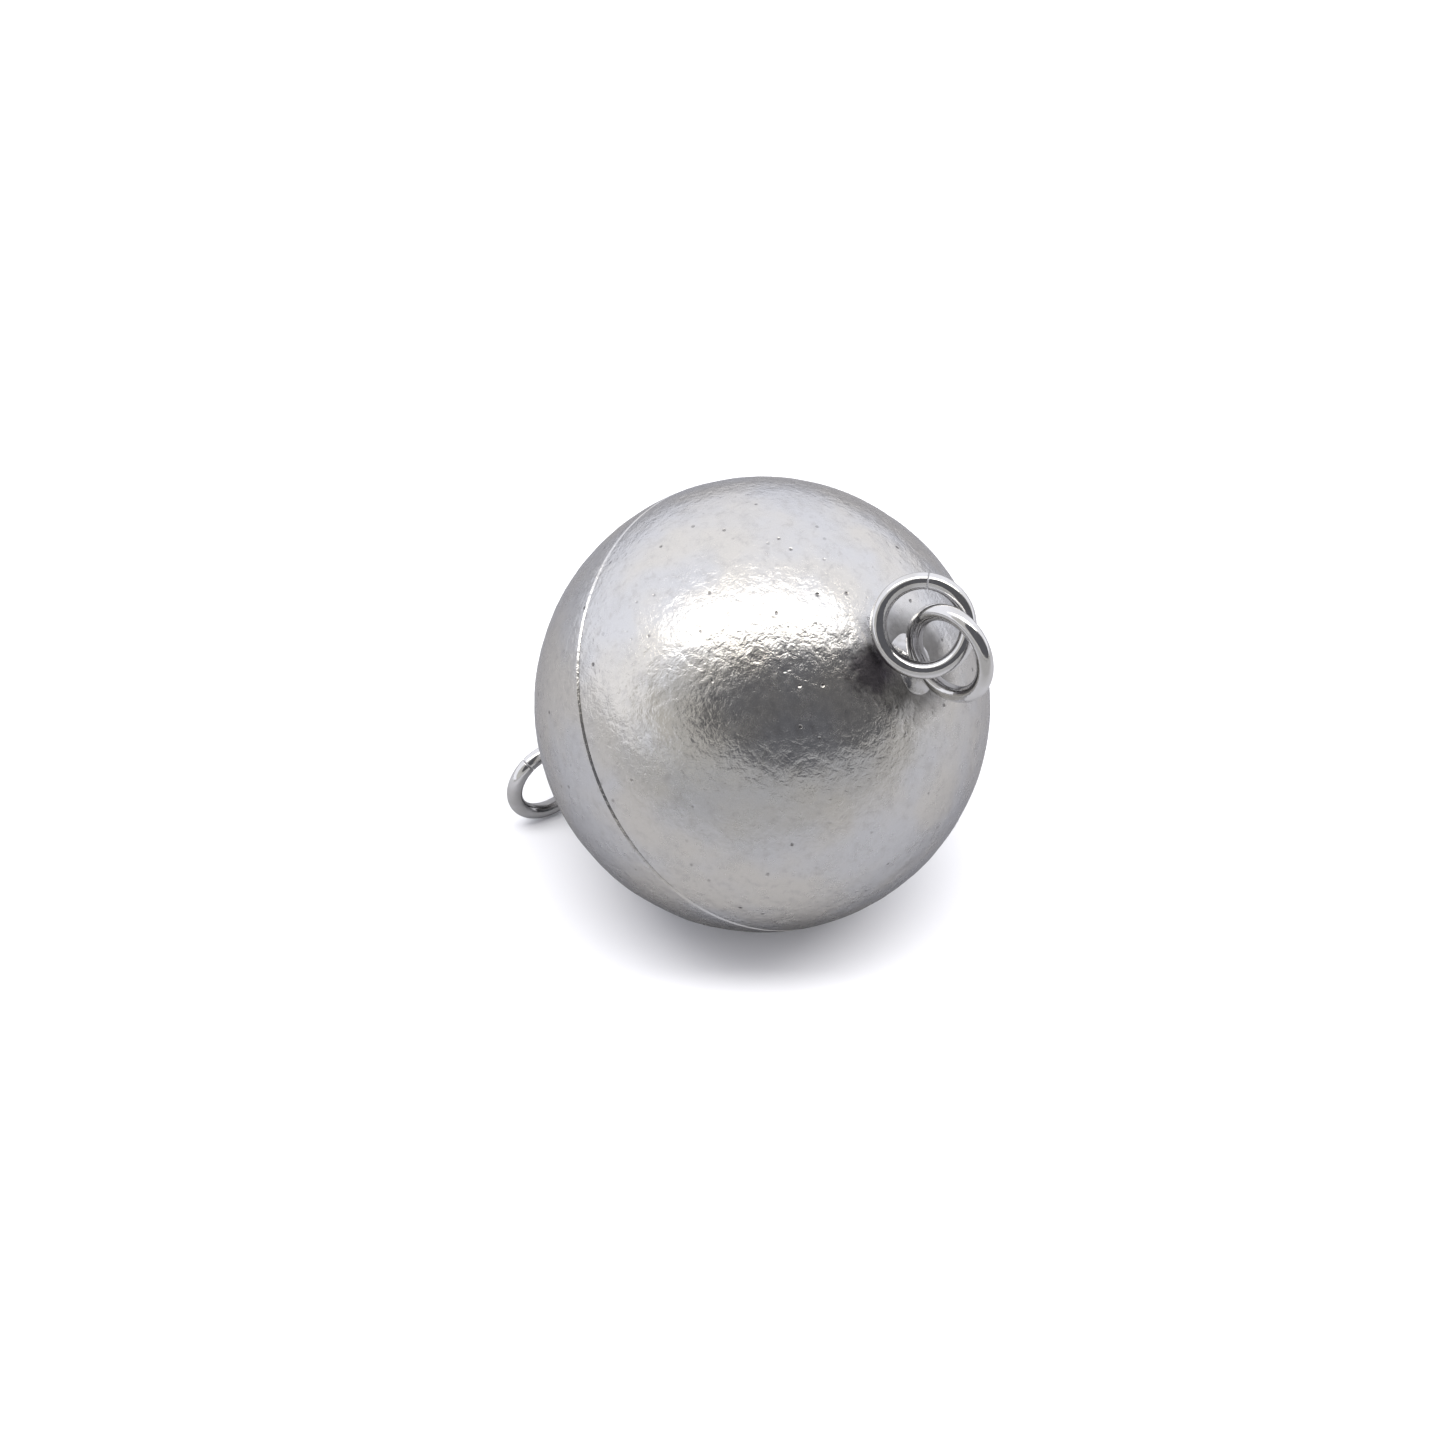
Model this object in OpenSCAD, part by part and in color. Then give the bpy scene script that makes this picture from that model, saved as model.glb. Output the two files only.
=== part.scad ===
// Magnetic ball clasp for a necklace or bracelet: two half balls that pull apart along
// one axis, each with a wire eye brazed on its pole and a jump ring linked through it.
// Sizes are in millimetres. The floor it lies on is z = 0 and the axis is in the XZ plane.

/* [Ball] */
// outside diameter of the closed ball
ball_d = 14; // [12:0.1:18]
// thickness of each pressed half shell
shell_t = 0.5; // [0.35:0.05:0.7]
// gap between the two rims when the clasp is closed
seam_gap = 0.04; // [0.03:0.01:0.15]
// bevel on the outer edge of each rim
rim_bevel = 0.05; // [0.03:0.01:0.15]

/* [Magnets and cups] */
// diameter of the front magnet
mag_d = 6.6; // [5:0.1:7.4]
// thickness of each magnet
mag_h = 2; // [1.5:0.1:2.4]
// wall of the steel cups
cup_t = 0.35; // [0.25:0.05:0.5]
// floor of the steel cups
cup_floor = 0.5; // [0.3:0.1:0.8]
// how far the front cup stands past the seam
spigot = 0.9; // [0.6:0.05:1.2]
// radial running clearance of the spigot in the rear cup
spigot_fit = 0.08; // [0.05:0.01:0.1]
// gap between the magnet faces when closed
face_gap = 0.05; // [0.03:0.01:0.1]
// radial thickness of the adhesive round each magnet
bond_t = 0.1; // [0.05:0.01:0.15]

/* [Face plates and fill] */
// thickness of the plate that closes each half
plate_t = 0.5; // [0.3:0.05:0.8]
// how far each plate sits below its rim
plate_inset = 0.12; // [0.08:0.02:0.3]
// thickness of the adhesive layer under each plate
fill_t = 0.8; // [0.5:0.1:1]

/* [Eyes and jump rings] */
// wire diameter of the eyes and the jump rings
wire_d = 0.5; // [0.4:0.05:0.6]
// outside diameter of each brazed eye
eye_od = 3.1; // [2.7:0.1:3.8]
// outside diameter of each jump ring
ring_od = 3.1; // [2.7:0.1:3.6]
// gap between an eye's foot and the shell, filled with braze
foot_gap = 0.03; // [0.02:0.01:0.06]
// diameter of each braze bead
bead_d = 1.3; // [1:0.1:1.6]
// width of the closed saw cut in each jump ring
kerf = 0.03; // [0.02:0.01:0.06]

/* [Attitude] */
// how far the axis tips up from the floor
tilt = 37; // [25:1:45]
// turn of the front eye about the axis
front_turn = -5; // [-40:1:40]
// turn of the rear eye about the axis
rear_turn = 84; // [60:1:120]
// where the front jump ring crosses the eye's opening, as shares of its free radius
front_hook = [0.12, 0.22, 0.26]; // [-1:0.01:1]
// how the front jump ring is turned about x, y and z
front_lean = [136, 25, -163]; // [-180:1:180]
// where the rear jump ring crosses the eye's opening, as shares of its free radius
rear_hook = [-0.86, 0, 0.04]; // [-1:0.01:1]
// how the rear jump ring is turned about x, y and z
rear_lean = [-43, -20, -168]; // [-180:1:180]

/* [Hidden] */
$fn = 96;
eps = 0.01;
ball_r = ball_d / 2;
wire_r = wire_d / 2;
bore_r = ball_r - shell_t;
eye_r = eye_od / 2 - wire_r;
ring_r = ring_od / 2 - wire_r;
eye_z = ball_r + foot_gap + wire_r + eye_r;
half_gap = seam_gap / 2;
kerf_turn = 60;

// radii of the cups: the front one is the spigot, the rear one its seat
cup_in_r = mag_d / 2 + bond_t;
cup_out_r = cup_in_r + cup_t;
seat_in_r = cup_out_r + spigot_fit;
seat_out_r = seat_in_r + cup_t;
rear_mag_r = seat_in_r - bond_t;

// heights along the axis, from the seam
front_face = -spigot;
front_back = front_face + mag_h;
rear_face = spigot + face_gap;
rear_back = rear_face + mag_h;
plate_top = half_gap + plate_inset;
plate_back = plate_top + plate_t;
fill_back = plate_back + fill_t;

// turns of a point about x, y and z, and all three in that order
function about_x(a, p) = [p.x, p.y * cos(a) - p.z * sin(a), p.y * sin(a) + p.z * cos(a)];
function about_y(a, p) = [p.x * cos(a) + p.z * sin(a), p.y, p.z * cos(a) - p.x * sin(a)];
function about_z(a, p) = [p.x * cos(a) - p.y * sin(a), p.x * sin(a) + p.y * cos(a), p.z];
function leant(lean, p) = about_z(lean.z, about_y(lean.y, about_x(lean.x, p)));

// The ball rests on the floor, unless the rear jump ring reaches lower than the ball does.
// Its lowest point is a wire radius under the lowest point of its tilted centre line.
rear_hang = [0, 0, eye_z] + rear_hook * (eye_r - wire_d) + leant(rear_lean, [ring_r, 0, 0]);
rear_middle = about_y(270 - tilt, about_z(rear_turn, rear_hang));
rear_axis = about_y(270 - tilt, about_z(rear_turn, leant(rear_lean, [0, 0, 1])));
rear_depth = ring_r * sqrt(1 - pow(rear_axis.z, 2)) + wire_r - rear_middle.z;
floor_clear = 0.02;
ball_z = max(ball_r, rear_depth + floor_clear);

// The clasp is drawn with its axis along z, the front half above z = 0.
module placed() {
    translate([0, 0, ball_z])
        rotate([0, 90 - tilt, 0])
            children();
}

// The rear half is drawn like the front one, then turned over about the y axis.
module turned_over() {
    rotate([0, 180, 0])
        children();
}

module tube(r_out, r_in, z0, z1) {
    difference() {
        translate([0, 0, z0])
            cylinder(r = r_out, h = z1 - z0);
        translate([0, 0, z0 - 1])
            cylinder(r = r_in, h = z1 - z0 + 2);
    }
}

module disc(r, z0, z1) {
    translate([0, 0, z0])
        cylinder(r = r, h = z1 - z0);
}

// A half shell: a turned profile with a bevelled rim at the seam.
module half_shell() {
    rotate_extrude()
        difference() {
            circle(r = ball_r);
            circle(r = bore_r);
            translate([-ball_r - 1, -ball_r - 1])
                square([2 * ball_r + 2, ball_r + 1 + half_gap]);
            translate([-ball_r - 1, -1])
                square([ball_r + 1, ball_r + 2]);
            polygon([
                [ball_r - rim_bevel, half_gap - eps],
                [ball_r + 1, half_gap - eps],
                [ball_r + 1, half_gap + rim_bevel + 1]
            ]);
        }
}

// What lies inside the bore of a half shell, between two heights.
module bore_slice(z0, z1) {
    intersection() {
        sphere(r = bore_r);
        disc(ball_r, z0, z1);
    }
}

module plate(cup_r) {
    difference() {
        bore_slice(plate_top, plate_back);
        disc(cup_r, -ball_r, ball_r);
    }
}

module fill(cup_r) {
    difference() {
        bore_slice(plate_back, fill_back);
        disc(cup_r, -ball_r, ball_r);
    }
}

module cup(r_in, z_mouth, z_back) {
    difference() {
        disc(r_in + cup_t, z_mouth, z_back + cup_floor);
        disc(r_in, z_mouth - 1, z_back);
    }
}

module torus(r, wire) {
    rotate_extrude()
        translate([r, 0])
            circle(r = wire);
}

// A cut ring: the saw cut is at +x.
module cut_ring(r, wire) {
    cut = kerf / r * 180 / PI;
    rotate([0, 0, cut / 2])
        rotate_extrude(angle = 360 - cut)
            translate([r, 0])
                circle(r = wire);
}

// An eye stands on the pole, in the plane of the axis and its own x direction.
module eye(turn) {
    rotate([0, 0, turn])
        translate([0, 0, eye_z])
            rotate([90, 0, 0])
                torus(eye_r, wire_r);
}

module braze(turn) {
    difference() {
        translate([0, 0, ball_r - bead_d / 10])
            sphere(d = bead_d);
        sphere(r = ball_r);
        eye(turn);
    }
}

// A jump ring: its wire crosses the eye's opening at the hook, and the ring leans from there.
module jump_ring(turn, hook, lean) {
    rotate([0, 0, turn])
        translate([0, 0, eye_z])
            translate(hook * (eye_r - wire_d))
                rotate(lean)
                    translate([ring_r, 0, 0])
                        rotate([0, 0, kerf_turn])
                            cut_ring(ring_r, wire_r);
}

// Front half
module front_shell() {
    color("silver")
        placed()
            half_shell();
}

module front_plate() {
    color("gainsboro")
        placed()
            plate(cup_out_r);
}

module front_cup() {
    color("gray")
        placed()
            cup(cup_in_r, front_face, front_back);
}

module front_magnet() {
    color("dimgray")
        placed()
            disc(mag_d / 2, front_face, front_back);
}

module front_bond() {
    color("khaki")
        placed()
            tube(cup_in_r, mag_d / 2, front_face, front_back);
}

module front_fill() {
    color("khaki")
        placed()
            fill(cup_out_r);
}

module front_eye() {
    color("silver")
        placed()
            eye(front_turn);
}

module front_braze() {
    color("lightgray")
        placed()
            braze(front_turn);
}

module front_jump_ring() {
    color("silver")
        placed()
            jump_ring(front_turn, front_hook, front_lean);
}

// Rear half
module rear_shell() {
    color("silver")
        placed()
            turned_over()
                half_shell();
}

module rear_plate() {
    color("gainsboro")
        placed()
            turned_over()
                plate(seat_out_r);
}

module rear_cup() {
    color("gray")
        placed()
            turned_over()
                cup(seat_in_r, plate_top, rear_back);
}

module rear_magnet() {
    color("dimgray")
        placed()
            turned_over()
                disc(rear_mag_r, rear_face, rear_back);
}

module rear_bond() {
    color("khaki")
        placed()
            turned_over()
                tube(seat_in_r, rear_mag_r, rear_face, rear_back);
}

module rear_fill() {
    color("khaki")
        placed()
            turned_over()
                fill(seat_out_r);
}

module rear_eye() {
    color("silver")
        placed()
            turned_over()
                eye(rear_turn);
}

module rear_braze() {
    color("lightgray")
        placed()
            turned_over()
                braze(rear_turn);
}

module rear_jump_ring() {
    color("silver")
        placed()
            turned_over()
                jump_ring(rear_turn, rear_hook, rear_lean);
}

front_shell();
rear_shell();
front_plate();
rear_plate();
front_cup();
rear_cup();
front_magnet();
rear_magnet();
front_bond();
rear_bond();
front_fill();
rear_fill();
front_eye();
rear_eye();
front_braze();
rear_braze();
front_jump_ring();
rear_jump_ring();
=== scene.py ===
"""A magnetic ball clasp: two satin half balls, a wire eye on each pole, a jump ring in each eye."""

import math

import bpy
import numpy as np
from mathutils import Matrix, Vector


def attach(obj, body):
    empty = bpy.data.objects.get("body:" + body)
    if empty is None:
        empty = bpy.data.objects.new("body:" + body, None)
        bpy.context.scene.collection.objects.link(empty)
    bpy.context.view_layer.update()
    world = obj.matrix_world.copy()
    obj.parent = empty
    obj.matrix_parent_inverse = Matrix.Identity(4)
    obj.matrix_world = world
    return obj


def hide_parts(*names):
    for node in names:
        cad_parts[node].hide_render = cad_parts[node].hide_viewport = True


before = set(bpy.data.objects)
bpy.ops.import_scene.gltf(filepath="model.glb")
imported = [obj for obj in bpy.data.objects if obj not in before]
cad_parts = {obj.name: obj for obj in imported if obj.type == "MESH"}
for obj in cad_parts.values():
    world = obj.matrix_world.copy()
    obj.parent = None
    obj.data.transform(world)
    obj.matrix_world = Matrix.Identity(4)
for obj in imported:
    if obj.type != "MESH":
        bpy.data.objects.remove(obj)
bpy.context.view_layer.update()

# ------------------------------------------------------------------------------------------
# Camera: a long lens looks down on the clasp from beside its front eye, with the ball a
# little right of and above the middle of the picture. It is made first.
MM = 0.001
BALL_R = 7.0
camera_turn = math.radians(38)
camera_height = math.radians(38)
camera_distance = 105 * MM
towards_camera = Vector(
    (
        math.sin(camera_turn) * math.cos(camera_height),
        -math.cos(camera_turn) * math.cos(camera_height),
        math.sin(camera_height),
    )
)
camera = bpy.data.objects.new("camera", bpy.data.cameras.new("camera"))
bpy.context.scene.collection.objects.link(camera)
bpy.context.scene.camera = camera
camera.location = Vector((0, 0, BALL_R * MM)) + towards_camera * camera_distance
camera.rotation_mode = "QUATERNION"
camera.rotation_quaternion = (-towards_camera).to_track_quat("-Z", "Y")
camera.data.sensor_width = 36
camera.data.lens = 85.1
camera.data.shift_x = -0.0275
camera.data.shift_y = -0.0126
camera.data.clip_start = 0.002
camera.data.clip_end = 50


# ------------------------------------------------------------------------------------------
# Half shells: two pressed half balls of thin sheet, tumbled to a grainy satin and plated.
# Each rim is dressed flat and its outer edge is broken, so a closed clasp shows one fine
# line round its waist.
def turned(axis, degrees):
    """A turn about the x, y or z axis, as a 4 x 4 matrix."""
    c, s = math.cos(math.radians(degrees)), math.sin(math.radians(degrees))
    i, j = {"x": (1, 2), "y": (2, 0), "z": (0, 1)}[axis]
    m = np.eye(4)
    m[i, i], m[i, j], m[j, i], m[j, j] = c, -s, s, c
    return m


def moved(x, y, z):
    """A move, as a 4 x 4 matrix."""
    m = np.eye(4)
    m[:3, 3] = x, y, z
    return m


# Both halves are drawn with the clasp's axis along z, and the front one tips up from the
# table by `tilt` degrees. The rear one is the same, turned over.
tilt = 37
FRONT = moved(0, 0, BALL_R) @ turned("y", 90 - tilt)
REAR = FRONT @ turned("y", 180)
HALVES = {"front": FRONT, "rear": REAR}


def skin(name, grid, place, material, loop=False):
    """A closed mesh over a grid of points in millimetres. Rows follow the profile and columns
    go round it. A row whose points all meet becomes one vertex with a fan of triangles. With
    loop, the last row is joined to the first. UV: u is the share of the way round, v the
    share of the way along."""
    rows, cols = grid.shape[:2]
    pole = np.ptp(grid, axis=1).max(axis=1) < 1e-6
    size = np.where(pole, 1, cols)
    first = np.concatenate([[0], np.cumsum(size)])
    index = first[:-1, None] + np.where(pole[:, None], 0, np.arange(cols)[None, :])
    keep = np.concatenate([grid[i, :1] if pole[i] else grid[i] for i in range(rows)])
    points = keep @ place[:3, :3].T + place[:3, 3]
    last = rows if loop else rows - 1
    i = np.repeat(np.arange(last), cols)
    j = np.tile(np.arange(cols), last)
    ni, nj = (i + 1) % rows, (j + 1) % cols
    corners = np.stack([index[i, j], index[i, nj], index[ni, nj], index[ni, j]], axis=1)
    path = np.concatenate([grid, grid[:1]]).mean(axis=1) if loop else grid[:, 0]
    length = np.cumsum(np.linalg.norm(np.diff(path, axis=0), axis=-1))
    v = np.concatenate([[0], length]) / max(length[-1], 1e-9)
    u0, u1 = j / cols, (j + 1) / cols
    v0, v1 = v[i], v[np.minimum(i + 1, len(v) - 1)]
    uv = np.stack([np.stack(pair, 1) for pair in ((u0, v0), (u1, v0), (u1, v1), (u0, v1))], axis=1)
    # A closed skin that holds a negative volume is inside out.
    a, b, c, d = (points[corners[:, n]] for n in range(4))
    volume = np.einsum("ij,ij->", a, np.cross(b, c)) + np.einsum("ij,ij->", a, np.cross(c, d))
    if volume < 0:
        corners, uv = corners[:, ::-1], uv[:, ::-1]
    # A face beside a pole has two corners alike, and becomes a triangle.
    same = corners == np.roll(corners, -1, axis=1)
    full = ~same.any(axis=1)
    drop = np.argmax(same[~full], axis=1)
    kept = np.stack([(drop + n) % 4 for n in (1, 2, 3)], axis=1)
    thin = np.take_along_axis(corners[~full], kept, axis=1)
    thin_uv = np.take_along_axis(uv[~full], kept[:, :, None], axis=1)
    mesh = bpy.data.meshes.new(name)
    mesh.from_pydata(points * MM, [], corners[full].tolist() + thin.tolist())
    mesh.uv_layers.new(name="round").data.foreach_set(
        "uv", np.concatenate([uv[full].reshape(-1), thin_uv.reshape(-1)])
    )
    mesh.polygons.foreach_set("use_smooth", np.ones(len(mesh.polygons), bool))
    mesh.materials.append(material)
    mesh.update()
    piece = bpy.data.objects.new(name, mesh)
    bpy.context.scene.collection.objects.link(piece)
    return piece


def arc(radius, start, end, steps):
    """Profile points on a circle about the origin: (radius sin a, radius cos a)."""
    a = np.linspace(start, end, steps)
    return radius * np.stack([np.sin(a), np.cos(a)], axis=1)


def broken(corners, radii, steps=7, hold=0.03):
    """A profile through corners (r, z), each one rounded to its radius: straight runs with a
    circular arc between them. A point is held close to both ends of an arc, so that the
    flats stay flat under smooth shading."""
    p = np.asarray(corners, float)
    out = []
    for n, rho in enumerate(radii):
        if rho == 0:
            out.append(p[n][None])
            continue
        before, after = p[n - 1] - p[n], p[(n + 1) % len(p)] - p[n]
        before /= np.linalg.norm(before)
        after /= np.linalg.norm(after)
        half = math.acos(max(-1.0, min(1.0, float(before @ after)))) / 2
        reach = rho / math.tan(half)
        middle = (before + after) / np.linalg.norm(before + after)
        centre = p[n] + middle * rho / math.sin(half)
        t = np.linspace(0, 1, steps)[:, None]
        start, end = p[n] + before * reach, p[n] + after * reach
        chord = start * (1 - t) + end * t - centre
        bend = centre + chord * rho / np.linalg.norm(chord, axis=1, keepdims=True)
        out += [(start + before * hold)[None], bend, (end + after * hold)[None]]
    return np.concatenate(out)


def lathe(profile, cols):
    """A profile (r, z) turned about z: (r cos a, r sin a, z) for cols angles a."""
    a = np.arange(cols) * 2 * np.pi / cols
    r, z = profile[:, 0, None], profile[:, 1, None]
    return np.stack([r * np.cos(a), r * np.sin(a), z + 0 * a], axis=-1)


def bumps(points, size, seed, waves=40):
    """Rounded bumps about `size` across, from about -1 to 1: a sum of plane sine waves 1.5
    to 2.6 times that long, in random directions and phases, over its usual height."""
    dice = np.random.default_rng(seed)
    way = dice.normal(size=(3, waves))
    way /= np.linalg.norm(way, axis=0)
    number = 2 * np.pi / (size * dice.uniform(1.5, 2.6, waves))
    phase = dice.uniform(0, 2 * np.pi, waves)
    total = np.sin(points.reshape(-1, 3) @ (way * number) + phase).sum(axis=1)
    usual_height = 1.6 * math.sqrt(waves / 2)
    return total.reshape(points.shape[:-1]) / usual_height


class Signal:
    """A socket of a node tree that carries a number. Sums, products and powers of signals
    add the Math nodes that work them out."""

    def __init__(self, finish, socket):
        self.finish, self.socket = finish, socket

    def maths(self, operation, *others):
        inputs = dict(enumerate((self, *others)))
        return self.finish.node("ShaderNodeMath", {"operation": operation}, inputs)

    def __add__(self, other):
        return self.maths("ADD", other)

    def __sub__(self, other):
        return self.maths("SUBTRACT", other)

    def __rsub__(self, other):
        return self.finish.node("ShaderNodeMath", {"operation": "SUBTRACT"}, {0: other, 1: self})

    def __mul__(self, other):
        return self.maths("MULTIPLY", other)

    def __pow__(self, other):
        return self.maths("POWER", other)

    __radd__, __rmul__ = __add__, __mul__

    def ramp(self, low, high, to_low=0.0, to_high=1.0):
        """This signal spread from low..high over to_low..to_high, smoothly, and held there."""
        return self.finish.node(
            "ShaderNodeMapRange",
            {"interpolation_type": "SMOOTHSTEP"},
            {0: self, 1: low, 2: high, 3: to_low, 4: to_high},
        )


class Finish:
    """A node tree being filled in, of a material or of the room. node() adds any node: its
    type, its settings, the values or signals of its inputs, and which output comes back."""

    def __init__(self, owner):
        owner.use_nodes = True
        self.tree = owner.node_tree
        self.tree.nodes.clear()

    def node(self, kind, settings=None, inputs=None, output=0):
        made = self.tree.nodes.new(kind)
        for key, value in (settings or {}).items():
            setattr(made, key, value)
        for key, value in (inputs or {}).items():
            if isinstance(value, Signal):
                self.tree.links.new(value.socket, made.inputs[key])
            else:
                made.inputs[key].default_value = value
        return Signal(self, made.outputs[output]) if len(made.outputs) else made

    def place(self, uv=False):
        """The point of the surface: object coordinates in metres, or the piece's own UV."""
        return self.node("ShaderNodeTexCoord", output="UV" if uv else "Object")

    def vector(self, operation, one, other=None, output="Vector"):
        """One Vector Math node: its Vector output, or Value for a length or a dot product."""
        inputs = {0: one} if other is None else {0: one, 1: other}
        return self.node("ShaderNodeVectorMath", {"operation": operation}, inputs, output)

    def cells(self, at, size, output):
        """Cells about `size` millimetres across: Distance from each one's middle, or Color."""
        inputs = {"Vector": at, "Scale": 1 / (size * MM), "Randomness": 1.0}
        return self.node("ShaderNodeTexVoronoi", {"feature": "F1"}, inputs, output)

    def noise(self, at, size, detail=2.0, rough=0.5, warp=0.0):
        """Soft noise from 0 to 1 whose blobs are about `size` millimetres across."""
        return self.node(
            "ShaderNodeTexNoise",
            inputs={"Vector": at, "Scale": 1 / (size * MM), "Detail": detail,
                    "Roughness": rough, "Distortion": warp},
        )

    def blend(self, share, one, other):
        """Colour `one` where share is 0, `other` where it is 1."""
        return self.node(
            "ShaderNodeMix",
            {"data_type": "RGBA"},
            {0: share, 6: (*one, 1) if isinstance(one, tuple) else one,
             7: (*other, 1) if isinstance(other, tuple) else other},
            2,
        )

    def bump(self, height, depth, under=None):
        """A normal raised by height (0 to 1) times depth in millimetres."""
        inputs = {"Height": height, "Distance": depth * MM, "Strength": 1.0}
        if under is not None:
            inputs["Normal"] = under
        return self.node("ShaderNodeBump", inputs=inputs)

    def surface(self, **sockets):
        """The Principled surface and the output it feeds."""
        named = {key.replace("_", " "): value for key, value in sockets.items()}
        shader = self.node("ShaderNodeBsdfPrincipled", inputs=named)
        self.node("ShaderNodeOutputMaterial", inputs={"Surface": shader})


def material(name):
    """A new material, and its node tree ready to be filled in."""
    made = bpy.data.materials.new(name)
    return made, Finish(made)


satin, f = material("satin_silver")
at = f.place()
cloud = f.noise(at, 2.6, 3)
tone = f.noise(at, 0.9, 4, 0.6)
grain = f.noise(at, 0.24, 3, 0.6, 0.4)
fine = f.noise(at, 0.1, 2)
pit_apart = 0.5
chosen = f.node("ShaderNodeSeparateColor", inputs={0: f.cells(at, pit_apart, "Color")})
pit = f.cells(at, pit_apart, "Distance").ramp(0.17, 0.05) * chosen.ramp(0.55, 0.95)
mottle = f.noise(at, 0.32, 3, 0.65)
hue = f.blend(cloud.ramp(0.35, 0.65), (0.735, 0.742, 0.76), (0.775, 0.755, 0.715))
hue = f.blend(tone.ramp(0.48, 0.75, 0.0, 0.35), hue, (0.60, 0.595, 0.59))
hue = f.blend(mottle.ramp(0.48, 0.75, 0.0, 0.5), hue, (0.56, 0.55, 0.545))
hue = f.blend(grain.ramp(0.35, 0.2, 0.0, 0.5), hue, (0.45, 0.445, 0.44))
hue = f.blend(pit * 0.75, hue, (0.16, 0.15, 0.15))
# Painted shade round each eye's foot, where the eye shades the ball: darkest at the foot,
# and gone about two millimetres out, where the ball has fallen 0.3 mm from its pole.
ball_middle = (0, 0, BALL_R * MM)
middle = f.vector("SUBTRACT", at, ball_middle)
axis = Vector(FRONT[:3, 2])
reach = f.vector("DOT_PRODUCT", middle, axis, "Value")
from_pole = reach.maths("ABSOLUTE") * (-1 / MM) + BALL_R + (tone - 0.5) * 0.25
foot_shade = from_pole.ramp(0.05, 0.3, 1.0, 0.0)
hue = f.blend(foot_shade * 0.85, hue, (0.13, 0.125, 0.12))
# A painted shadow lies beside the front eye: a dark patch where the eye and its ring shade the ball.
dark_patch_way = Vector((0.73, -0.21, 0.65)).normalized()
off = f.vector("SUBTRACT", middle, dark_patch_way * BALL_R * MM)
off = f.vector("LENGTH", off, output="Value") * (1 / MM)
dark_patch = (off + (mottle - 0.5) * 1.1).ramp(0.4, 1.0, 1.0, 0.0)
hue = f.blend(dark_patch * 0.9, hue, (0.10, 0.09, 0.105))
relief = f.bump(grain, 0.026)
relief = f.bump(fine, 0.004, relief)
relief = f.bump(pit, -0.02, relief)
dullness = grain.ramp(0.3, 0.7, 0.19, 0.27) + tone.ramp(0.4, 0.8, 0.0, 0.05)
f.surface(
    Base_Color=hue,
    Metallic=1.0,
    Roughness=dullness + (foot_shade + dark_patch) * 0.12,
    Specular_Tint=(0.7, 0.7, 0.72, 1),
    Normal=relief,
)

# Heights are above the seam. The rim's bevel takes its own size off both faces, and from
# `dress` up to `dent_from` above it the dents grow to their full depth.
shell_inner = 6.5
rim_at = 0.02
rim_bevel = 0.05
dress = 0.17
dress_inside = 0.1
outer_end = math.acos(dress / BALL_R)
inner_start = math.acos(dress_inside / shell_inner)
bevel_at = rim_at + rim_bevel
rim = broken(
    [
        (BALL_R * math.sin(outer_end), dress),
        (math.sqrt(BALL_R**2 - bevel_at**2), bevel_at),
        (BALL_R - rim_bevel, rim_at),
        (shell_inner, rim_at),
        (shell_inner * math.sin(inner_start), dress_inside),
    ],
    [0, 0.02, 0.015, 0.02, 0],
    hold=0.006,
)
outer_rows, inner_rows, shell_cols = 150, 26, 420
shell_profile = np.concatenate([
    arc(BALL_R, 0, outer_end, outer_rows)[:-1],
    rim,
    arc(shell_inner, inner_start, 0, inner_rows)[1:],
])
dent_from = 0.5
dent_depth, ripple_depth = 0.007, 0.0036
dent_seeds = {"front": 11, "rear": 23}
for half, place in HALVES.items():
    grid = lathe(shell_profile, shell_cols)
    outside = np.arange(len(grid)) < outer_rows - 1
    soft = np.clip((grid[..., 2] - dress) / dent_from, 0, 1) * outside[:, None]
    seed = dent_seeds[half]
    dents = dent_depth * bumps(grid, 1.1, seed) + ripple_depth * bumps(grid, 0.34, seed + 1, 60)
    grid *= (1 + soft * (dents - dent_depth) / BALL_R)[..., None]
    grid[0] = grid[0].mean(axis=0)
    shell = skin(f"{half}_half_shell", grid, place, satin)
    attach(shell, f"{half}_half")
    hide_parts(f"{half}_shell")

# ------------------------------------------------------------------------------------------
# Face plates: thin turned plates that close each half just inside its rim, and stand round
# the cup. Their faces keep the fine rings of the tool; a bead of glue holds them underneath.
# Radii and heights in each half follow from its magnet: the glue round it, the wall of its
# cup, and the clearance in which the front cup, the spigot, slides into the rear one.
spigot = 0.9
glue_t = 0.1
cup_wall = 0.35
spigot_fit = 0.08
magnet_r = {"front": 3.3}
cup_inner = {"front": magnet_r["front"] + glue_t}
cup_outer = {"front": cup_inner["front"] + cup_wall}
cup_inner["rear"] = cup_outer["front"] + spigot_fit
cup_outer["rear"] = cup_inner["rear"] + cup_wall
magnet_r["rear"] = cup_inner["rear"] - glue_t
plate_inset = 0.12
plate_t = 0.5
fill_t = 0.8
plate_top = rim_at + plate_inset
plate_back = plate_top + plate_t
fill_back = plate_back + fill_t
clear = 0.02

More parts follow.
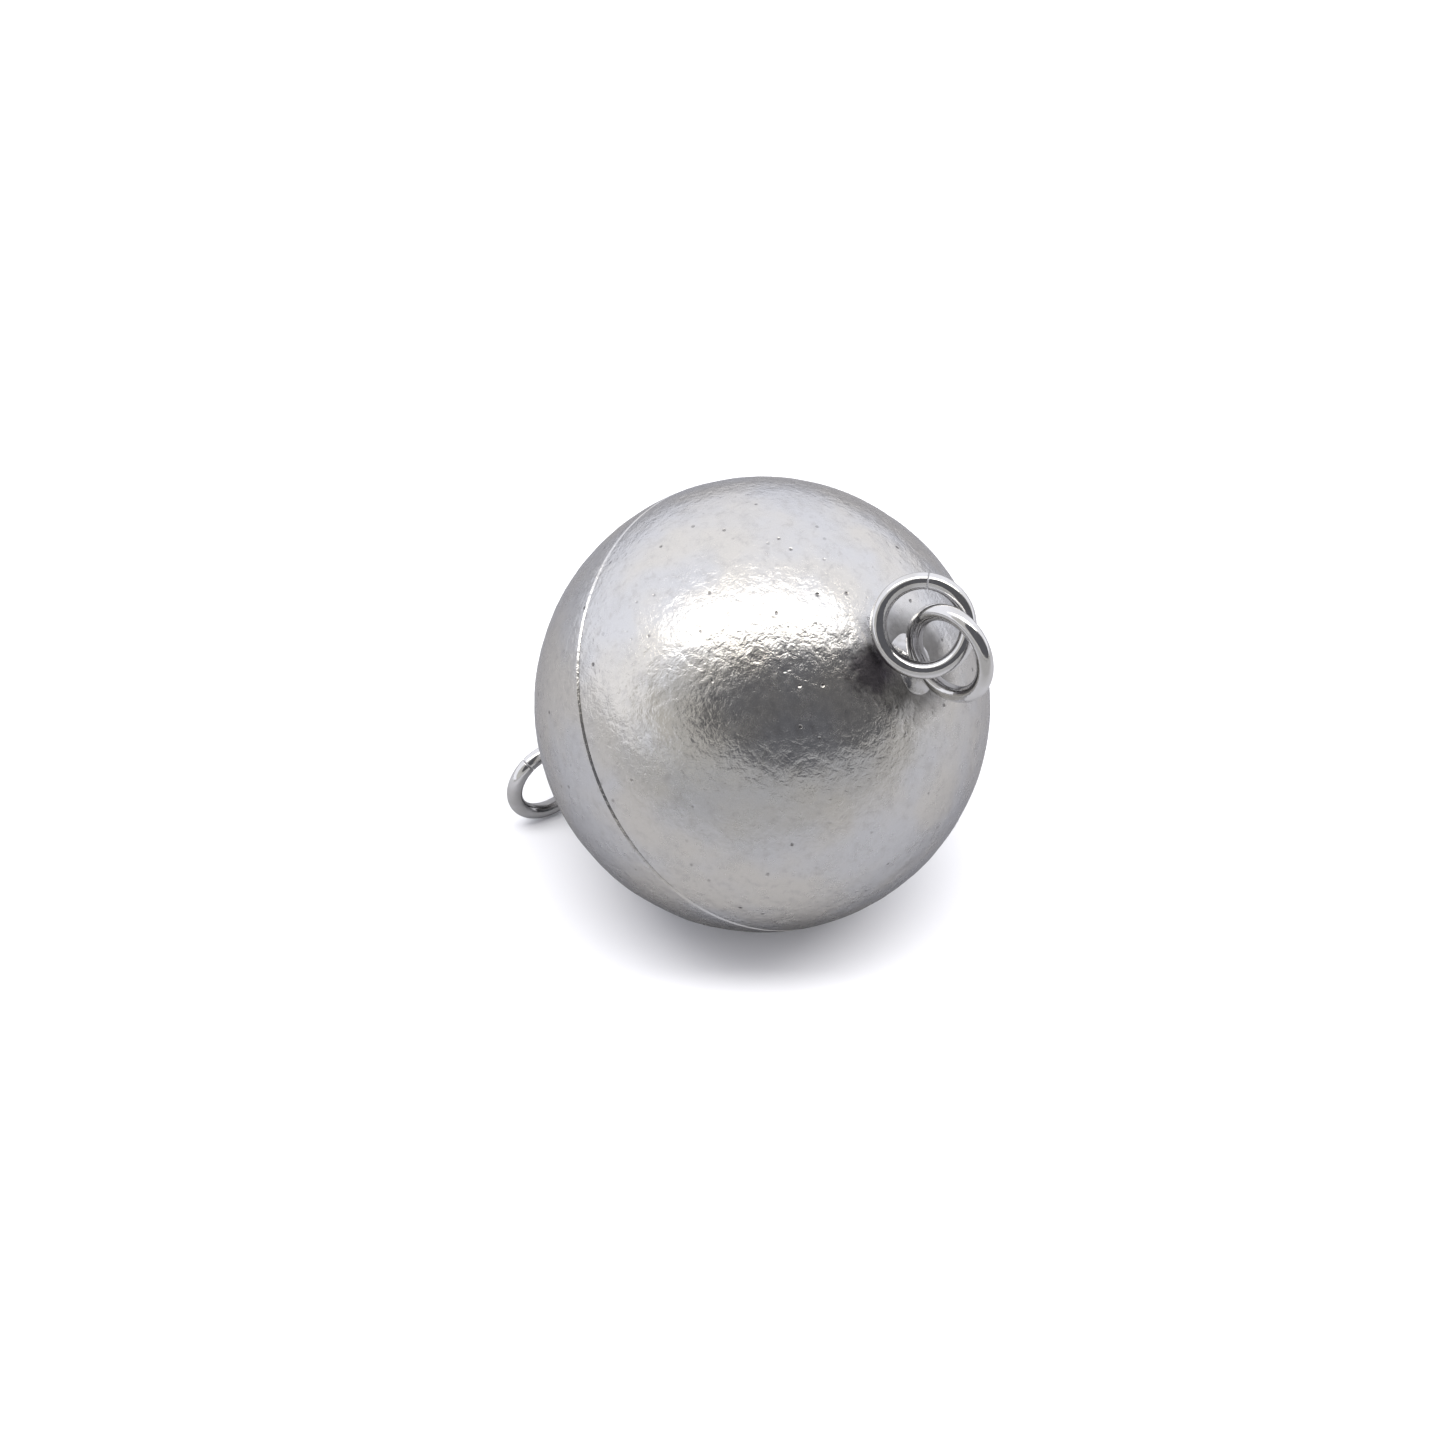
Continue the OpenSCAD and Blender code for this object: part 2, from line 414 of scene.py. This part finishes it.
turned_face, f = material("turned_plate")
at = f.place()
middle = f.vector("SUBTRACT", at, ball_middle)
height = f.vector("DOT_PRODUCT", middle, axis, "Value")
away = f.vector("LENGTH", middle, output="Value")
from_axis = (away**2.0 - height**2.0).maths("MAXIMUM", 0.0) ** 0.5 * (1 / MM)
tool_pitch = 0.045
wobble = f.noise(at, 1.4, 2) * 5.0
groove = (from_axis * (2 * math.pi / tool_pitch) + wobble).maths("SINE") * 0.5 + 0.5
rub = f.noise(at, 0.8, 4, 0.65)
scratch = f.noise(at, 0.12, 3, 0.7, 1.2)
turned_hue = f.blend(groove.ramp(0.0, 1.0, 0.0, 0.25), (0.70, 0.70, 0.71), (0.60, 0.60, 0.61))
f.surface(
    Base_Color=f.blend(rub.ramp(0.55, 0.75, 0.0, 0.5), turned_hue, (0.50, 0.495, 0.485)),
    Metallic=1.0,
    Roughness=groove.ramp(0.0, 1.0, 0.22, 0.34) + rub.ramp(0.4, 0.8, 0.0, 0.1),
    Normal=f.bump(groove, 0.004, f.bump(scratch, 0.003)),
)
disc_cols = 200
for half, place in HALVES.items():
    hole_r = cup_outer[half] + clear
    profile = broken(
        [
            (hole_r, plate_top),
            (math.sqrt(shell_inner**2 - plate_top**2) - clear, plate_top),
            (math.sqrt(shell_inner**2 - plate_back**2) - clear, plate_back - clear),
            (hole_r, plate_back - clear),
        ],
        [0.06, 0.05, 0.03, 0.03],
    )
    grid = lathe(profile, disc_cols)
    plate = skin(f"{half}_face_plate", grid, place, turned_face, loop=True)
    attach(plate, f"{half}_half")
    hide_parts(f"{half}_plate")

# ------------------------------------------------------------------------------------------
# Glue: cured epoxy, poured under each plate round the cup and run up between each magnet
# and its cup, where its top sinks in a small hollow.
epoxy, f = material("cured_epoxy")
at = f.place()
milk = f.noise(at, 0.9, 3)
bubble = f.cells(at, 0.35, "Distance").ramp(0.2, 0.08)
amber = f.blend(milk.ramp(0.35, 0.7), (0.66, 0.60, 0.44), (0.74, 0.70, 0.57))
f.surface(
    Base_Color=f.blend(bubble * 0.5, amber, (0.86, 0.83, 0.72)),
    Roughness=milk.ramp(0.3, 0.7, 0.22, 0.36),
    Coat_Weight=milk.ramp(0.35, 0.65, 0.2, 0.5),
    Normal=f.bump(bubble, 0.012, f.bump(milk, 0.03)),
)
magnet_h = 2.0
face_gap = 0.05
magnet_face = {"front": -spigot, "rear": spigot + face_gap}
slump_depth = 0.09
pour_ripple = 0.03
line_dip = 0.05
line_sink = 0.01
for half, place in HALVES.items():
    # The poured ring: out along the shell, back over its slumped top, and down the cup.
    hole_r = cup_outer[half] + clear
    along_shell = arc(
        shell_inner - clear,
        math.acos((plate_back + clear) / shell_inner),
        math.acos(fill_back / shell_inner),
        14,
    )
    edge_r = along_shell[-1, 0]
    slump = np.linspace(edge_r, hole_r, 16)[1:-1]
    share = (slump - hole_r) / (edge_r - hole_r)
    top = np.stack([slump, fill_back - slump_depth * (1 - (2 * share - 1) ** 2)], axis=1)
    profile = np.concatenate([along_shell, top, [(hole_r, fill_back), (hole_r, plate_back + clear)]])
    grid = lathe(profile, disc_cols)
    poured = profile[:, 1] > fill_back - slump_depth - pour_ripple
    grid[..., 2] -= (pour_ripple * (1 + bumps(grid, 0.9, 31))) * poured[:, None]
    pour = skin(f"{half}_poured_glue", grid, place, epoxy, loop=True)

    # The glue line round the magnet, hollow at its mouth.
    mouth = magnet_face[half]
    t = np.linspace(0, 1, 9)
    dip = mouth + line_sink + line_dip * (1 - (2 * t - 1) ** 2)
    hollow = np.stack([magnet_r[half] + glue_t * t, dip], axis=1)
    back = [(cup_inner[half], mouth + magnet_h), (magnet_r[half], mouth + magnet_h)]
    profile = np.concatenate([hollow, back])
    line = skin(f"{half}_glue_line", lathe(profile, disc_cols), place, epoxy, loop=True)
    for piece, node in ((pour, "fill"), (line, "bond")):
        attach(piece, f"{half}_half")
        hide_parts(f"{half}_{node}")

# ------------------------------------------------------------------------------------------
# Cups: drawn steel cups that hold the magnets and carry their pull to the rim. The front one
# stands out past the seam as a spigot, and the rear one is the socket that it drops into.
cup_mouth = {"front": -spigot, "rear": plate_top}
cup_floor_t = 0.5

drawn_steel, f = material("drawn_steel")
at = f.place()
depth = f.vector("DOT_PRODUCT", f.vector("SUBTRACT", at, ball_middle), axis, "Value")
streak_pitch = 0.11
wobble = f.noise(at, 0.9, 3) * 3.0
streak = (wobble + depth * (2 * math.pi / (streak_pitch * MM))).maths("SINE") * 0.5 + 0.5
wear = f.noise(at, 0.6, 4, 0.65)
nickel = f.noise(at, 0.15, 2)
f.surface(
    Base_Color=f.blend(wear.ramp(0.5, 0.75, 0.0, 0.6), (0.66, 0.665, 0.68), (0.50, 0.49, 0.48)),
    Metallic=1.0,
    Roughness=streak.ramp(0.0, 1.0, 0.16, 0.28) + wear.ramp(0.45, 0.8, 0.0, 0.12),
    Normal=f.bump(streak, 0.002, f.bump(nickel, 0.003)),
)
for half, place in HALVES.items():
    floor = magnet_face[half] + magnet_h
    profile = broken(
        [
            (0, floor),
            (cup_inner[half], floor),
            (cup_inner[half], cup_mouth[half]),
            (cup_outer[half], cup_mouth[half]),
            (cup_outer[half], floor + cup_floor_t),
            (0, floor + cup_floor_t),
        ],
        [0, 0.12, 0.09, 0.09, 0.3, 0],
    )
    cup = skin(f"{half}_drawn_cup", lathe(profile, disc_cols), place, drawn_steel)
    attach(cup, f"{half}_half")
    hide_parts(f"{half}_cup")

# ------------------------------------------------------------------------------------------
# Magnets: sintered discs with a small moulded chamfer, nickel plated and glued into the cups
# with opposite poles facing. Handling leaves fine curved scratches on their faces.
magnet_chamfer = 0.14

plated_magnet, f = material("plated_magnet")
at = f.place()
dull = f.noise(at, 1.2, 4, 0.6)
stretch = {0: at, "Rotation": (0.3, 0.9, 0.2), "Scale": (1.0, 5.0, 1.0)}
scar = f.noise(f.node("ShaderNodeMapping", inputs=stretch), 0.25, 3, 0.7, 0.8).ramp(0.6, 0.68)
sinter = f.noise(at, 0.09, 2)
plating = f.blend(dull.ramp(0.4, 0.7), (0.62, 0.615, 0.60), (0.54, 0.53, 0.515))
f.surface(
    Base_Color=f.blend(scar * 0.5, plating, (0.40, 0.39, 0.38)),
    Metallic=1.0,
    Roughness=dull.ramp(0.3, 0.75, 0.14, 0.3) + scar * 0.12,
    Normal=f.bump(sinter, 0.003, f.bump(scar, -0.002)),
)
for half, place in HALVES.items():
    r, face = magnet_r[half], magnet_face[half]
    edge = broken(
        [(0, face), (r, face), (r, face + magnet_h), (0, face + magnet_h)],
        [0, magnet_chamfer, magnet_chamfer, 0],
    )
    flat = np.linspace((0, face), (r - 0.3, face), 8)[:-1]
    grid = lathe(np.concatenate([flat, edge[1:]]), disc_cols)
    magnet = skin(f"{half}_disc_magnet", grid, place, plated_magnet)
    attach(magnet, f"{half}_half")
    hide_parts(f"{half}_magnet")

# ------------------------------------------------------------------------------------------
# Eyes: polished wire bent to a ring, one standing on each pole in the plane of the axis.
WIRE_R = 0.25
EYE_R = 1.3
foot_gap = 0.03
eye_at = BALL_R + foot_gap + WIRE_R + EYE_R
eye_turns = {"front": -5, "rear": 84}

bright, f = material("bright_wire")
at = f.place()
along = f.place(uv=True)
drawn = f.node(
    "ShaderNodeTexNoise",
    inputs={
        "Vector": f.node("ShaderNodeMapping", inputs={0: along, "Scale": (9.0, 60.0, 1.0)}),
        "Scale": 1.0, "Detail": 3.0, "Roughness": 0.6,
    },
)
knock = f.noise(at, 0.3, 2)
haze = f.noise(at, 0.7, 3)
# The first column of the mesh runs along the inside of a ring. There the wire is painted dark as
# painted shade, and left rougher, where no polishing reaches.
round_wire = f.node("ShaderNodeSeparateXYZ", inputs={0: along}, output=0)
inside_shade = ((round_wire * (2 * math.pi)).maths("COSINE") + (haze - 0.5) * 0.5).ramp(0.45, 0.95)
polished = f.blend(haze.ramp(0.35, 0.7), (0.86, 0.86, 0.87), (0.76, 0.755, 0.745))
rubbed = drawn.ramp(0.3, 0.75, 0.05, 0.13) + haze.ramp(0.5, 0.8, 0.0, 0.06)
f.surface(
    Base_Color=f.blend(inside_shade * 0.75, polished, (0.17, 0.165, 0.17)),
    Metallic=1.0,
    Roughness=rubbed + inside_shade * 0.1,
    Normal=f.bump(drawn, 0.0012, f.bump(knock, 0.006)),
)


def ring(radius, wire, cols, rows):
    """A round ring in the x-y plane: centre line radius (cos a, sin a, 0), and a circle of
    radius `wire` carried round it. Rows go round the ring and columns round the wire."""
    a = np.arange(rows)[:, None] * 2 * np.pi / rows
    b = np.arange(cols)[None, :] * 2 * np.pi / cols
    out = radius - wire * np.cos(b)
    return np.stack([out * np.cos(a), out * np.sin(a), wire * np.sin(b) + 0 * a], axis=-1)


wire_cols, ring_rows = 48, 220
for half, place in HALVES.items():
    stand = place @ turned("z", eye_turns[half]) @ moved(0, 0, eye_at) @ turned("x", 90)
    eye = skin(f"{half}_wire_eye", ring(EYE_R, WIRE_R, wire_cols, ring_rows), stand, bright, loop=True)
    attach(eye, f"{half}_half")
    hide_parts(f"{half}_eye")

# ------------------------------------------------------------------------------------------
# Braze: the metal that ran between an eye's foot and the ball. It climbs both sides of the
# wire, thins out in a hollow curve and ends feathered on the shell.
braze_long = 0.95
braze_wide = 0.68
braze_height = 0.46
braze_sink = 0.02
braze_edge = 0.004
braze_rows, braze_cols = 40, 120

flowed, f = material("flowed_braze")
at = f.place()
ripple = f.noise(at, 0.22, 3)
stain = f.noise(at, 0.5, 2)
f.surface(
    Base_Color=f.blend(stain.ramp(0.4, 0.7), (0.72, 0.72, 0.73), (0.55, 0.54, 0.52)),
    Metallic=1.0,
    Roughness=ripple.ramp(0.3, 0.7, 0.12, 0.26),
    Normal=f.bump(ripple, 0.012),
)
for half, place in HALVES.items():
    # s runs from the pole to the edge, close together near the pole where it is steepest.
    s = np.linspace(0, 1, braze_rows) ** 1.2
    a = np.arange(braze_cols) * 2 * np.pi / braze_cols
    wander = 1 + 0.05 * np.cos(3 * a + 1) + 0.035 * np.sin(5 * a)
    x = s[:, None] * braze_long * wander * np.cos(a)
    y = s[:, None] * braze_wide * wander * np.sin(a)
    lift = braze_height * (1 - s[:, None]) ** 1.6 + braze_edge
    up = np.stack([x, y, np.sqrt(BALL_R**2 - x**2 - y**2)], axis=-1) / BALL_R
    top = up * (BALL_R + lift + 0 * a)[..., None]
    under = up[::-2] * (BALL_R - braze_sink)
    grid = np.concatenate([top, under, up[:1] * (BALL_R - braze_sink)])
    grid[0], grid[-1] = grid[0].mean(axis=0), grid[-1].mean(axis=0)
    bead = skin(f"{half}_braze_fillet", grid, place @ turned("z", eye_turns[half]), flowed)
    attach(bead, f"{half}_half")
    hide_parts(f"{half}_braze")

# ------------------------------------------------------------------------------------------
# Jump rings: cut rings of the same wire, closed through the eyes so that the saw cut only
# just shows, and left where they fell when the clasp was laid down.
RING_R = 1.3
kerf = 0.03
kerf_edge = 0.02
kerf_turn = 60
free_r = EYE_R - 2 * WIRE_R
hooks = {"front": (0.12, 0.22, 0.26), "rear": (-0.86, 0.0, 0.04)}
leans = {"front": (136, 25, -163), "rear": (-43, -20, -168)}


def cut_ring(radius, wire, gap, edge, cols, rows):
    """A ring like ring(), cut through at +x. Near each end the wire's radius falls to the
    centre line round an edge of radius `edge`, which closes the end with a flat face."""
    q = np.linspace(0, 1, 7) * np.pi / 2
    ends = np.concatenate([[0.0], wire - edge * (1 - np.sin(q))])
    inward = np.concatenate([[0.0], edge * (1 - np.cos(q))]) / radius
    half = gap / 2 / radius
    middle = np.linspace(half + inward[-1] * 1.5, 2 * np.pi - half - inward[-1] * 1.5, rows)
    a = np.concatenate([half + inward, middle, 2 * np.pi - half - inward[::-1]])[:, None]
    w = np.concatenate([ends, np.full(rows, wire), ends[::-1]])[:, None]
    b = np.arange(cols)[None, :] * 2 * np.pi / cols
    out = radius - w * np.cos(b)
    return np.stack([out * np.cos(a), out * np.sin(a), w * np.sin(b) + 0 * a], axis=-1)


for half, place in HALVES.items():
    hook = np.array(hooks[half]) * free_r
    lean_x, lean_y, lean_z = leans[half]
    hang = (
        place
        @ turned("z", eye_turns[half])
        @ moved(0, 0, eye_at)
        @ moved(*hook)
        @ turned("z", lean_z)
        @ turned("y", lean_y)
        @ turned("x", lean_x)
        @ moved(RING_R, 0, 0)
        @ turned("z", kerf_turn)
    )
    grid = cut_ring(RING_R, WIRE_R, kerf, kerf_edge, wire_cols, ring_rows)
    jump = skin(f"{half}_cut_ring", grid, hang, bright)
    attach(jump, f"{half}_ring")
    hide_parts(f"{half}_jump_ring")

# ------------------------------------------------------------------------------------------
# Table and light: a plain pale table top in a bright, even room, with a strip light overhead
# and a dark screen round the camera, which show only in the polish.
paper, f = material("pale_table")
at = f.place()
f.surface(
    Base_Color=f.blend(f.noise(at, 40, 2), (0.79, 0.795, 0.825), (0.81, 0.815, 0.84)),
    Roughness=0.9,
)
table_half = 2500.0
table_square = np.array([(-1, -1, 0), (1, -1, 0), (1, 1, 0), (-1, 1, 0)]) * table_half * MM


def flat_sheet(name, points, faces, paint):
    """A sheet that belongs to the studio and not to the clasp."""
    mesh = bpy.data.meshes.new(name)
    mesh.from_pydata(np.asarray(points, float), [], faces)
    mesh.materials.append(paint)
    made = bpy.data.objects.new(name, mesh)
    bpy.context.scene.collection.objects.link(made)
    return made


table = flat_sheet("table", table_square, [(0, 1, 2, 3)], paper)
table.visible_glossy = False

# What the polish sees of the table: the same sheet a little darker, as painted shade, with a
# painted shadow that is darkest towards the camera, where the dark screen stands over it.
sheen, f = material("table_in_the_polish")
at = f.place()
towards = Vector((math.sin(camera_turn), -math.cos(camera_turn), 0))
ahead = f.vector("DOT_PRODUCT", at, towards, "Value")
shade = ahead.ramp(8 * MM, 30 * MM)
f.surface(
    Base_Color=f.blend(shade, (0.28, 0.28, 0.29), (0.19, 0.19, 0.19)),
    Roughness=0.9,
)


def only_in_polish(made):
    """Hide a sheet from everything but the reflections in polished metal."""
    made.visible_camera = False
    made.visible_diffuse = False
    made.visible_shadow = False


film = table_square + (0, 0, 0.001 * MM)
only_in_polish(flat_sheet("table_in_the_polish", film, [(0, 1, 2, 3)], sheen))

room = bpy.data.worlds.new("room")
bpy.context.scene.world = room
f = Finish(room)
glow = f.node("ShaderNodeBackground", inputs={0: (0.985, 0.985, 1.03, 1), 1: 0.98})
f.node("ShaderNodeOutputWorld", inputs={0: glow})

# The camera's own right, and the level direction towards it, place the lights.
RIGHT = np.array([math.cos(camera_turn), math.sin(camera_turn), 0])
NEAR = np.array([math.sin(camera_turn), -math.cos(camera_turn), 0])
UP = np.array([0, 0, 1.0])


def screen(name, outline, distance, colour, strength):
    """A glowing screen seen only in polished metal: a fan from the middle of its outline,
    whose points are directions from the ball, as degrees right of the camera and degrees up."""
    points = []
    for right, up in [(sum(d) / len(outline) for d in zip(*outline)), *outline]:
        right, up = math.radians(right), math.radians(up)
        level = math.sin(right) * RIGHT + math.cos(right) * NEAR
        points.append(distance * (math.cos(up) * level + math.sin(up) * UP))
    faces = [(0, n, n % len(outline) + 1) for n in range(1, len(outline) + 1)]
    paint, g = material(name)
    shine = g.node("ShaderNodeEmission", inputs={0: (*colour, 1), 1: strength})
    g.node("ShaderNodeOutputMaterial", inputs={"Surface": shine})
    only_in_polish(flat_sheet(name, points, faces, paint))


screen(
    "grey_screen",
    [
        (-40, 0), (-64, 12), (-72, 30), (-62, 46), (-36, 62), (-20, 69), (20, 73), (62, 62),
        (88, 46), (96, 20), (72, 0), (16, -3),
    ],
    0.55, (1.0, 0.98, 0.95), 0.52,
)
screen(
    "dark_screen",
    [
        (-4, 8), (-30, 18), (-40, 34), (-34, 50), (-22, 65), (20, 70), (60, 58), (84, 42),
        (82, 10), (55, 4),
    ],
    0.25, (0.92, 0.92, 1.0), 0.11,
)
strip_height = 0.24
strip_outline = [
    (-0.27, 0.035), (-0.2, 0.004), (0.0, -0.008), (0.14, -0.004), (0.2, 0.012), (0.17, 0.045),
    (0.0, 0.072), (-0.12, 0.072),
]
tube, f = material("strip")
shine = f.node("ShaderNodeEmission", inputs={0: (1.0, 0.96, 0.9, 1), 1: 3.4})
f.node("ShaderNodeOutputMaterial", inputs={"Surface": shine})
corners = [UP * strip_height + right * RIGHT + near * NEAR for right, near in strip_outline]
only_in_polish(flat_sheet("strip", corners, [tuple(range(len(corners)))], tube))

lamp = bpy.data.lights.new("softbox", "AREA")
lamp.shape = "RECTANGLE"
lamp.size = 0.6
lamp.size_y = 0.14
lamp.energy = 1.85
lamp.color = (1.0, 0.985, 0.96)
softbox = bpy.data.objects.new("softbox", lamp)
bpy.context.scene.collection.objects.link(softbox)
softbox.location = 0.3 * UP + 0.06 * RIGHT + 0.07 * NEAR
softbox.rotation_euler = (0, 0, camera_turn)
softbox.visible_glossy = False

bpy.context.scene.view_settings.view_transform = "Standard"
bpy.context.scene.view_settings.look = "None"
